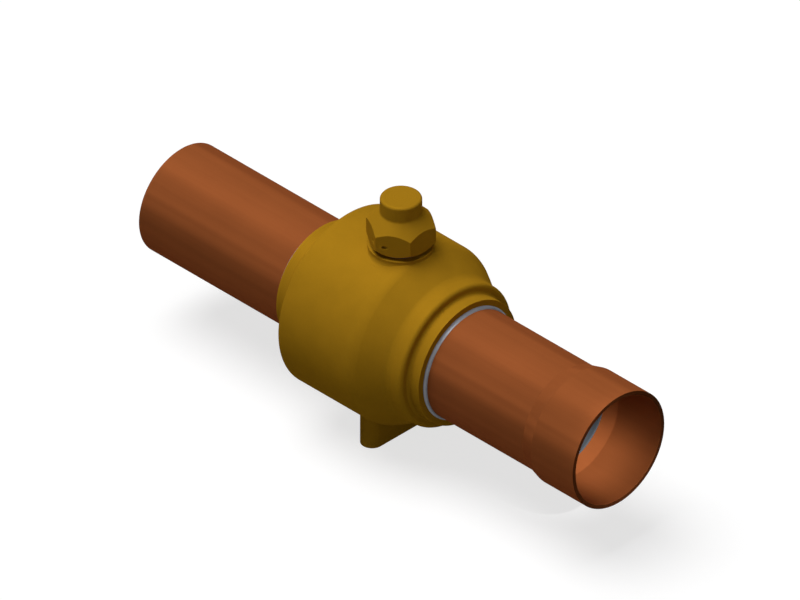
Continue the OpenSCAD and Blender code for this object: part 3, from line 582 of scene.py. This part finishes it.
def make_connector():
    connector = turned("connector", [
        (POCKET_FRONT, 0), (POCKET_FRONT, PLUG_R, 0.4), (GROOVE_START, PLUG_R),
        (GROOVE_START, PLUG_R - GROOVE_DEPTH), (GROOVE_START + GROOVE_W, PLUG_R - GROOVE_DEPTH),
        (GROOVE_START + GROOVE_W, PLUG_R),
        (THREAD_START + 0.3, PLUG_R), (THREAD_START + 0.3, PLUG_THREAD_R), (BODY_LEFT, PLUG_THREAD_R),
        (BODY_LEFT, FLANGE_R, 0.2), (FLANGE_END, FLANGE_R, 0.4), (FLANGE_END, PLUG_NECK_R + 0.4, 0.2),
        (PLUG_HEX_END, PLUG_NECK_R + 0.4), (PLUG_HEX_END + 0.4, PLUG_NECK_R, 0.3),
        (PLUG_END, PLUG_NECK_R, 0.1), (PLUG_END, 0)], side=-1, closed=False)
    hexagon = rod("hexagon", PLUG_HEX_AF / math.sqrt(3), -PLUG_HEX_END, -FLANGE_END + 0.5, along="X", sides=6)
    round_off = turned("round_off", [
        (FLANGE_END - OVER, 0), (FLANGE_END - OVER, PLUG_HEX_R), (PLUG_HEX_END - 1.5, PLUG_HEX_R),
        (PLUG_HEX_END, PLUG_HEX_AF / 2), (PLUG_HEX_END, 0)], side=-1, closed=False)
    combine(hexagon, round_off, "INTERSECT")
    bevelled(hexagon, 0.25, angle=20)
    combine(connector, hexagon)
    cut(connector, turned("way", [
        (POCKET_FRONT - OVER, 0), (POCKET_FRONT - OVER, POCKET_R), (POCKET_BACK, POCKET_R),
        (POCKET_BACK, SHOULDER_IR), (INLET_STOP, SHOULDER_IR), (INLET_STOP, PIPE_SEAT_R),
        (PLUG_END + OVER, PIPE_SEAT_R), (PLUG_END + OVER, 0)], side=-1, closed=False))
    place(connector, turned_brass, "valve", "connector_brass", "end_connector")


# Copper stubs, sleeves and braze

def make_stubs():
    toe = NECK_END + FILLET_LEN
    outlet = turned("outlet_stub", [
        (OUTLET_STOP, STUB_SEAT_R), (toe, STUB_SEAT_R), (toe, PIPE_R), (SWAGE_START, PIPE_R, 5),
        (SWAGE_END, SOCKET_R, 5), (OUTLET_REACH, SOCKET_R, 0.2),
        (OUTLET_REACH, SOCKET_IR, 0.2), (SOCKET_FLOOR, SOCKET_IR, 0.6), (SWAGE_ROOT, PIPE_IR, 0.6),
        (OUTLET_STOP, PIPE_IR)])
    place(outlet, swaged_copper, "valve", "outlet_copper", "outlet_tube")
    toe = PLUG_END + FILLET_LEN
    inlet = turned("inlet_stub", [
        (INLET_STOP, STUB_SEAT_R), (toe, STUB_SEAT_R), (toe, PIPE_R), (INLET_REACH, PIPE_R, 0.2),
        (INLET_REACH, PIPE_IR + 0.4), (INLET_REACH - 0.4, PIPE_IR), (INLET_STOP, PIPE_IR)], side=-1)
    place(inlet, drawn_copper, "valve", "inlet_copper", "inlet_tube")
    for name, stop, face, side in (("outlet", OUTLET_STOP, NECK_END, 1), ("inlet", INLET_STOP, PLUG_END, -1)):
        sleeve = turned("sleeve_" + name, [
            (stop, SLEEVE_IR), (stop, SLEEVE_R), (SWAGE_ROOT, SLEEVE_R), (SWAGE_ROOT, SLEEVE_IR, 0.1)],
            side=side)
        place(sleeve, shaded_sleeve_steel, "valve", "sleeve_steel", name + "_sleeve")
        curve = [(face + FILLET_LEN * (1 - math.sin(a)), PIPE_R + FILLET_RISE * (1 - math.cos(a)))
                 for a in (math.pi / 16 * i for i in range(9))]
        root = [(face, STUB_SEAT_R), (face + FILLET_LEN, STUB_SEAT_R)]
        braze = turned("braze_" + name, root + curve, side=side)
        place(braze, silver_braze, "valve", "solder", name + "_braze_ring")


# Ball, seats and seals

def squeezed(x0, x1, r0, r1):
    """Outline of a soft ring squeezed between two faces and two radii."""
    rounding = 0.46 * min(x1 - x0, r1 - r0)
    return [(x0, r0, rounding), (x1, r0, rounding), (x1, r1, rounding), (x0, r1, rounding)]


def make_ball():
    bpy.ops.object.select_all(action="DESELECT")
    bpy.ops.mesh.primitive_uv_sphere_add(segments=128, ring_count=64, radius=BALL_R * MM, location=AXIS)
    ball = bpy.context.object
    ball.name = "plated_ball"
    bpy.ops.object.transform_apply(location=True, rotation=True, scale=True)
    past = BALL_R + 4
    port = turned("port", [(-past, 0), (-past, PORT_R), (past, PORT_R), (past, 0)], closed=False)
    slot_cut = tang("slot_cut", TANG_W + 0.2, TANG_LEN + 0.6, TANG_FOOT - 0.3, BALL_R + OVER)
    vent = rod("vent", VENT_R, 0, BALL_R)
    cut(ball, port, slot_cut, vent)
    bevelled(ball, 0.3, angle=25)
    place(ball, plating, "ball", "ball_plating", "ball")
    front_r = math.sqrt(SEAT_SPHERE_R ** 2 - SEAT_FRONT ** 2)
    high, low = (math.asin(r / SEAT_SPHERE_R) for r in (front_r, SEAT_IR))
    hollow = [(SEAT_SPHERE_R * math.cos(a), SEAT_SPHERE_R * math.sin(a))
              for a in (high + (low - high) * i / 8 for i in range(9))]
    mid_r = (SEAT_IR + SEAT_R) / 2
    for name, side in (("outlet", 1), ("inlet", -1)):
        back = [(SEAT_BACK, SEAT_IR, 0.2), (SEAT_BACK, SEAT_R, 0.2), (SEAT_FRONT, SEAT_R)]
        seat = turned("seat_" + name, back + hollow, side=side)
        place(seat, waxy_plastic, "valve", "seat_plastic", name + "_seat")
        section = squeezed(SEAT_BACK, POCKET_BACK, mid_r - SPRING_D / 2, mid_r + SPRING_D / 2)
        spring = turned("spring_" + name, section, side=side, steps=SMALL_STEPS)
        place(spring, rubber, "valve", "black_rubber", name + "_seat_spring")
    ring = turned("ring_connector", squeezed(GROOVE_START + 0.15, GROOVE_START + GROOVE_W - 0.15,
                                             PLUG_R - GROOVE_DEPTH, CHAMBER_R), side=-1, steps=SMALL_STEPS)
    place(ring, rubber, "valve", "black_rubber", "connector_o_ring")


def tang(name, width, length, low, high):
    """Round bar with two flats, its long way across the pipe."""
    bar = rod(name, length / 2, low, high, sides=SMALL_STEPS)
    flats = block("flats", (-width / 2, -length, low - OVER), (width / 2, length, high + OVER))
    return combine(bar, flats, "INTERSECT")


# Stem and its stops

SECTOR_R = 12                 # reach of a wedge that cuts the plate or the clip


def make_stem():
    stem = turned("turned_stem", [
        (0, SHOULDER_FOOT), (SHOULDER_R, SHOULDER_FOOT, 0.3), (SHOULDER_R, WASHER_FOOT, 0.3),
        (STEM_R, WASHER_FOOT), (STEM_R, LOWER_GROOVE, 0.2), (STEM_GROOVE_R, LOWER_GROOVE),
        (STEM_GROOVE_R, LOWER_GROOVE + STEM_GROOVE_W), (STEM_R, LOWER_GROOVE + STEM_GROOVE_W, 0.2),
        (STEM_R, UPPER_GROOVE, 0.2), (STEM_GROOVE_R, UPPER_GROOVE),
        (STEM_GROOVE_R, UPPER_GROOVE + STEM_GROOVE_W), (STEM_R, UPPER_GROOVE + STEM_GROOVE_W, 0.2),
        (STEM_R, PLATE_Z, 0.2), (0, PLATE_Z)], about=UP_STEM, closed=False, steps=STEM_STEPS)
    half = SQUARE / 2
    square = block("square", (-half, -half, PLATE_Z - OVER), (half, half, STEM_TOP))
    corner_r = SQUARE / math.sqrt(2) - 0.2
    combine(square, turned("corners", [
        (0, PLATE_Z - 2), (corner_r, PLATE_Z - 2), (corner_r, STEM_TOP - 1.2), (corner_r - 1.2, STEM_TOP),
        (0, STEM_TOP)], about=UP_STEM, closed=False, steps=SMALL_STEPS), "INTERSECT")
    clip_r = (half + SQUARE / math.sqrt(2)) / 2
    groove = turned("groove", [
        (clip_r, CLIP_Z), (SQUARE, CLIP_Z), (SQUARE, CLIP_Z + 1.2), (clip_r, CLIP_Z + 1.2)],
        about=UP_STEM, steps=SMALL_STEPS)
    mark = block("mark", (-SQUARE, -MARK_HALF, STEM_TOP - MARK_DEPTH), (SQUARE, MARK_HALF, STEM_TOP + OVER))
    cut(square, groove, mark)
    bevelled(square, 0.12, angle=35)
    combine(stem, square)
    combine(stem, tang("tang", TANG_W, TANG_LEN, TANG_FOOT, SHOULDER_FOOT + 0.4))
    place(stem, stem_steel, "spindle", "stem_steel", "stem")
    for name, foot in (("lower", LOWER_GROOVE), ("upper", UPPER_GROOVE)):
        section = [(r, z, rounding) for z, r, rounding in squeezed(
            foot + 0.15, foot + STEM_GROOVE_W - 0.15, STEM_GROOVE_R, STEM_BORE_R - 0.025)]
        ring = turned("ring_" + name, section, about=UP_STEM, steps=STEM_STEPS)
        place(ring, rubber, "spindle", "black_rubber", "stem_o_ring_" + name)
    washer = turned("washer_thrust", [
        (STEM_BORE_R, WASHER_FOOT + PLAY), (SHOULDER_R, WASHER_FOOT + PLAY, 0.1), (SHOULDER_R, CEILING, 0.1),
        (STEM_BORE_R, CEILING)], about=UP_STEM, steps=STEM_STEPS)
    place(washer, waxy_plastic, "valve", "seat_plastic", "thrust_washer")
    make_stops(clip_r)


def sector(name, low, high, start, end):
    """Wedge about the stem axis, between two angles in degrees, as a cutter."""
    angles = [math.radians(start + (end - start) * i / 12) for i in range(13)]
    corners = [(0, 0)] + [(SECTOR_R * math.cos(a), SECTOR_R * math.sin(a)) for a in angles]
    places = [(Vector((x, y, AXIS_H + low)) * MM, 0) for x, y in corners]
    piece = draw(name, places, True)
    bpy.ops.object.mode_set(mode="EDIT")
    bpy.ops.mesh.select_all(action="SELECT")
    bpy.ops.mesh.edge_face_add()
    bpy.ops.mesh.extrude_region_move(TRANSFORM_OT_translate={"value": (0, 0, (high - low) * MM)})
    tidy_mesh()
    return piece


def make_stops(clip_r):
    plate = turned("plate_stop", [(0, PLATE_Z), (PLATE_R, PLATE_Z, 0.1), (PLATE_R, PLATE_Z + PLATE_T, 0.1),
                                  (0, PLATE_Z + PLATE_T)], about=UP_STEM, closed=False)
    side_play = math.degrees(math.asin((PIN_R + PLAY) / PIN_ORBIT))
    low, high = PLATE_Z - OVER, PLATE_Z + 3
    window = sector("window", low, high, -90 - side_play, side_play)
    keep = rod("keep", PIN_ORBIT - PIN_R - PLAY, low - OVER, high + OVER, sides=SMALL_STEPS)
    combine(window, keep, "DIFFERENCE")
    half = SQUARE / 2 + PLAY
    cut(plate, window, block("square_hole", (-half, -half, low), (half, half, high)))
    place(plate, stem_steel, "spindle", "stem_steel", "stop_plate")
    pin = rod("pin_stop", PIN_R, PIN_FOOT, CLIP_Z - PLAY, x=PIN_ORBIT, sides=32)
    bevelled(pin, 0.15, angle=40)
    place(pin, stem_steel, "valve", "stem_steel", "stop_pin")
    ring_r = clip_r + PLAY
    outer_r, low, high = ring_r + CLIP_W, CLIP_Z + PLAY, CLIP_Z + PLAY + CLIP_T
    clip = turned("clip_stem", [(ring_r, low), (outer_r, low, 0.1), (outer_r, high, 0.1), (ring_r, high)],
                  about=UP_STEM, steps=SMALL_STEPS)
    cut(clip, sector("opening", low - OVER, high + OVER, 180 - CLIP_OPENING, 180 + CLIP_OPENING))
    ear_angle = math.radians(CLIP_OPENING) + math.asin(EAR_R / outer_r)
    for side in (-1, 1):
        angle = math.pi + side * ear_angle
        x, y = outer_r * math.cos(angle), outer_r * math.sin(angle)
        combine(clip, rod("ear", EAR_R, low + 0.02, high - 0.02, x=x, y=y, sides=32))
        cut(clip, rod("eye", EAR_R / 2, low - OVER, high + OVER, x=x, y=y, sides=24))
    place(clip, clip_steel, "spindle", "clip_steel", "stem_circlip")


# Cap and gasket

def on_wire_rim(piece, edge):
    """True for an edge where the hole for a seal wire leaves the cap."""
    a, b = (piece.data.vertices[i].co for i in edge.vertices)
    away = [math.hypot(p.y - WIRE_Y * MM, p.z - (AXIS_H + WIRE_Z) * MM) for p in (a, b)]
    on_hole = all(abs(r - WIRE_R * MM) < 0.02 * MM for r in away)
    return on_hole and abs(b.x - a.x) < 0.9 * (b - a).length


def make_cap():
    corner_r = CAP_HEX_AF / math.sqrt(3)
    cap = turned("seal_cap", [
        (0, CAP_Z), (SKIRT_R, CAP_Z, 0.15), (SKIRT_R, CAP_HEX_Z), (corner_r - CAP_HEX_BEVEL, CAP_HEX_Z),
        (corner_r + 1, CAP_HEX_Z + CAP_HEX_BEVEL + 1), (corner_r + 1, CAP_CORNER_Z - 1),
        (KNOB_R, KNOB_Z, 1.2), (KNOB_R, CAP_TOP, 1.3), (0, CAP_TOP)], about=UP_STEM, closed=False)
    combine(cap, rod("flats", corner_r, CAP_Z - OVER, CAP_TOP + OVER, sides=6), "INTERSECT")
    bevelled(cap, 0.15, angle=20)
    room = turned("room", [
        (0, CAP_Z - OVER), (THREAD_BORE_R + 1.4, CAP_Z - OVER), (THREAD_BORE_R, CAP_Z + 0.4),
        (THREAD_BORE_R, SPIGOT_TOP + 0.4), (PLATE_ROOM_R, SPIGOT_TOP + 1.2), (PLATE_ROOM_R, PLATE_ROOM_TOP),
        (KNOB_IR, PLATE_ROOM_TOP + PLATE_ROOM_R - KNOB_IR), (KNOB_IR, CROWN_Z), (0, CROWN_Z)],
        about=UP_STEM, closed=False)
    wire_hole = rod("wire_hole", WIRE_R, -9, 9, x=WIRE_Y, y=WIRE_Z, along="X", sides=32)
    cut(cap, room, wire_hole)
    select(cap, "EDGE", lambda e: on_wire_rim(cap, e))
    bpy.ops.mesh.bevel(offset=WIRE_EDGE * MM, segments=2)
    bpy.ops.object.mode_set(mode="OBJECT")
    join(cap, thread_ridge("cap_thread", THREAD_BORE_R + 0.1, CAP_CREST_R, root_half=0.6, crest_half=0.05,
                           start=RELIEF_TOP + THREAD_FOOT + PITCH / 2))
    place(cap, cap_brass, "cap", "cap_brass", "cap")
    gasket = turned("gasket_cap", [
        (THREAD_BORE_R + 0.3, PAD_Z, 0.1), (SKIRT_R - 0.05, PAD_Z, 0.2), (SKIRT_R - 0.05, CAP_Z, 0.2),
        (THREAD_BORE_R + 0.3, CAP_Z, 0.1)], about=UP_STEM)
    place(gasket, gasket_grey, "gasket", "gasket_grey", "cap_gasket")


make_body()
make_connector()
make_stubs()
make_ball()
make_stem()
make_cap()


# Floor, lights and camera

AMBIENT = 0.06                # light from all round
FLOOR_BOUNCE, FLOOR_SEEN, FLOOR_GLOW = 0.18, 0.34, 0.72    # grey that lights the part, grey and glow in view
BEAM_R, BEAM_LENGTH = 0.0205, 1.2                # beam that lights the inside of the mouth, in metres
FLOOR_Z = -0.0002             # just below the foot, in metres


def background_rays(tree):
    """1 for rays that show the background: seen directly, in gloss or through glass."""
    path = node(tree, "ShaderNodeLightPath").outputs
    seen = math_node(tree, "MAXIMUM", path["Is Camera Ray"], path["Is Glossy Ray"])
    return math_node(tree, "MAXIMUM", seen, path["Is Transmission Ray"])


def make_floor():
    bpy.ops.object.select_all(action="DESELECT")
    bpy.ops.mesh.primitive_plane_add(size=12, location=(0, 0, FLOOR_Z))
    floor = bpy.context.object
    floor.name = "studio_floor"
    material = bpy.data.materials.new("pale floor")
    material.use_nodes = True
    tree = material.node_tree
    shader = tree.nodes["Principled BSDF"]
    shader.inputs["Roughness"].default_value = 0.9
    shader.inputs["Specular IOR Level"].default_value = 0.0
    shader.inputs["Emission Color"].default_value = (1, 1, 1, 1)
    seen = background_rays(tree)
    grey = mixed(tree, seen, shaded((1, 1, 1), FLOOR_BOUNCE), shaded((1, 1, 1), FLOOR_SEEN))
    tree.links.new(grey, shader.inputs["Base Color"])
    tree.links.new(math_node(tree, "MULTIPLY", seen, FLOOR_GLOW), shader.inputs["Emission Strength"])
    floor.data.materials.append(material)


def make_world():
    world = bpy.data.worlds.new("studio")
    bpy.context.scene.world = world
    world.use_nodes = True
    tree = world.node_tree
    light = tree.nodes["Background"]
    strength = node(tree, "ShaderNodeMapRange", in_Value=background_rays(tree), in_To_Min=AMBIENT,
                    in_To_Max=1.0)
    light.inputs["Color"].default_value = (1, 1, 1, 1)
    tree.links.new(strength.outputs[0], light.inputs["Strength"])


def make_lamp(kind, name, target, towards, distance, strength):
    """Lamp that shines on a place from a direction."""
    direction = Vector(towards).normalized()
    bpy.ops.object.light_add(type=kind, location=target + direction * distance)
    lamp = bpy.context.object
    lamp.name = name
    lamp.rotation_euler = direction.to_track_quat("Z", "Y").to_euler()
    lamp.data.energy = strength
    return lamp


make_floor()
make_world()
key = make_lamp("SUN", "key", AXIS, (-0.24, -0.18, 0.95), distance=2.0, strength=2.65)
key.data.angle = 0.75
front = make_lamp("SUN", "front fill", AXIS, (0.82, -0.42, 0.38), distance=2.0, strength=0.22)
front.data.angle = 1.2
mouth = at_pipe(OUTLET_REACH, -3)
fill = make_lamp("SPOT", "mouth fill", mouth, (0.8, -0.24, 0.56), distance=BEAM_LENGTH, strength=100.0)
fill.data.spot_size = 2 * math.atan(BEAM_R / BEAM_LENGTH)
fill.data.spot_blend = 0.3
fill.data.shadow_soft_size = 0.012

VIEW = Vector((1, -1, 1)).normalized()
RIGHT = Vector((1, 1, 0)).normalized()
ABOVE = VIEW.cross(RIGHT)
PICTURE_W = 800               # pixels across the picture
PIXEL = 0.0004475             # metres to one of its pixels
AIM_LEFT, AIM_UP = 1.0, 24.4  # pixels from the middle of the pipe axis to the middle of the picture
CAMERA_AWAY = 1.5             # metres
aim = AXIS - RIGHT * AIM_LEFT * PIXEL + ABOVE * AIM_UP * PIXEL
bpy.ops.object.camera_add(location=aim + VIEW * CAMERA_AWAY,
                          rotation=VIEW.to_track_quat("Z", "Y").to_euler())
camera = bpy.context.object
camera.data.type = "ORTHO"
camera.data.ortho_scale = PICTURE_W * PIXEL
bpy.context.scene.camera = camera
bpy.context.scene.view_settings.view_transform = "Standard"
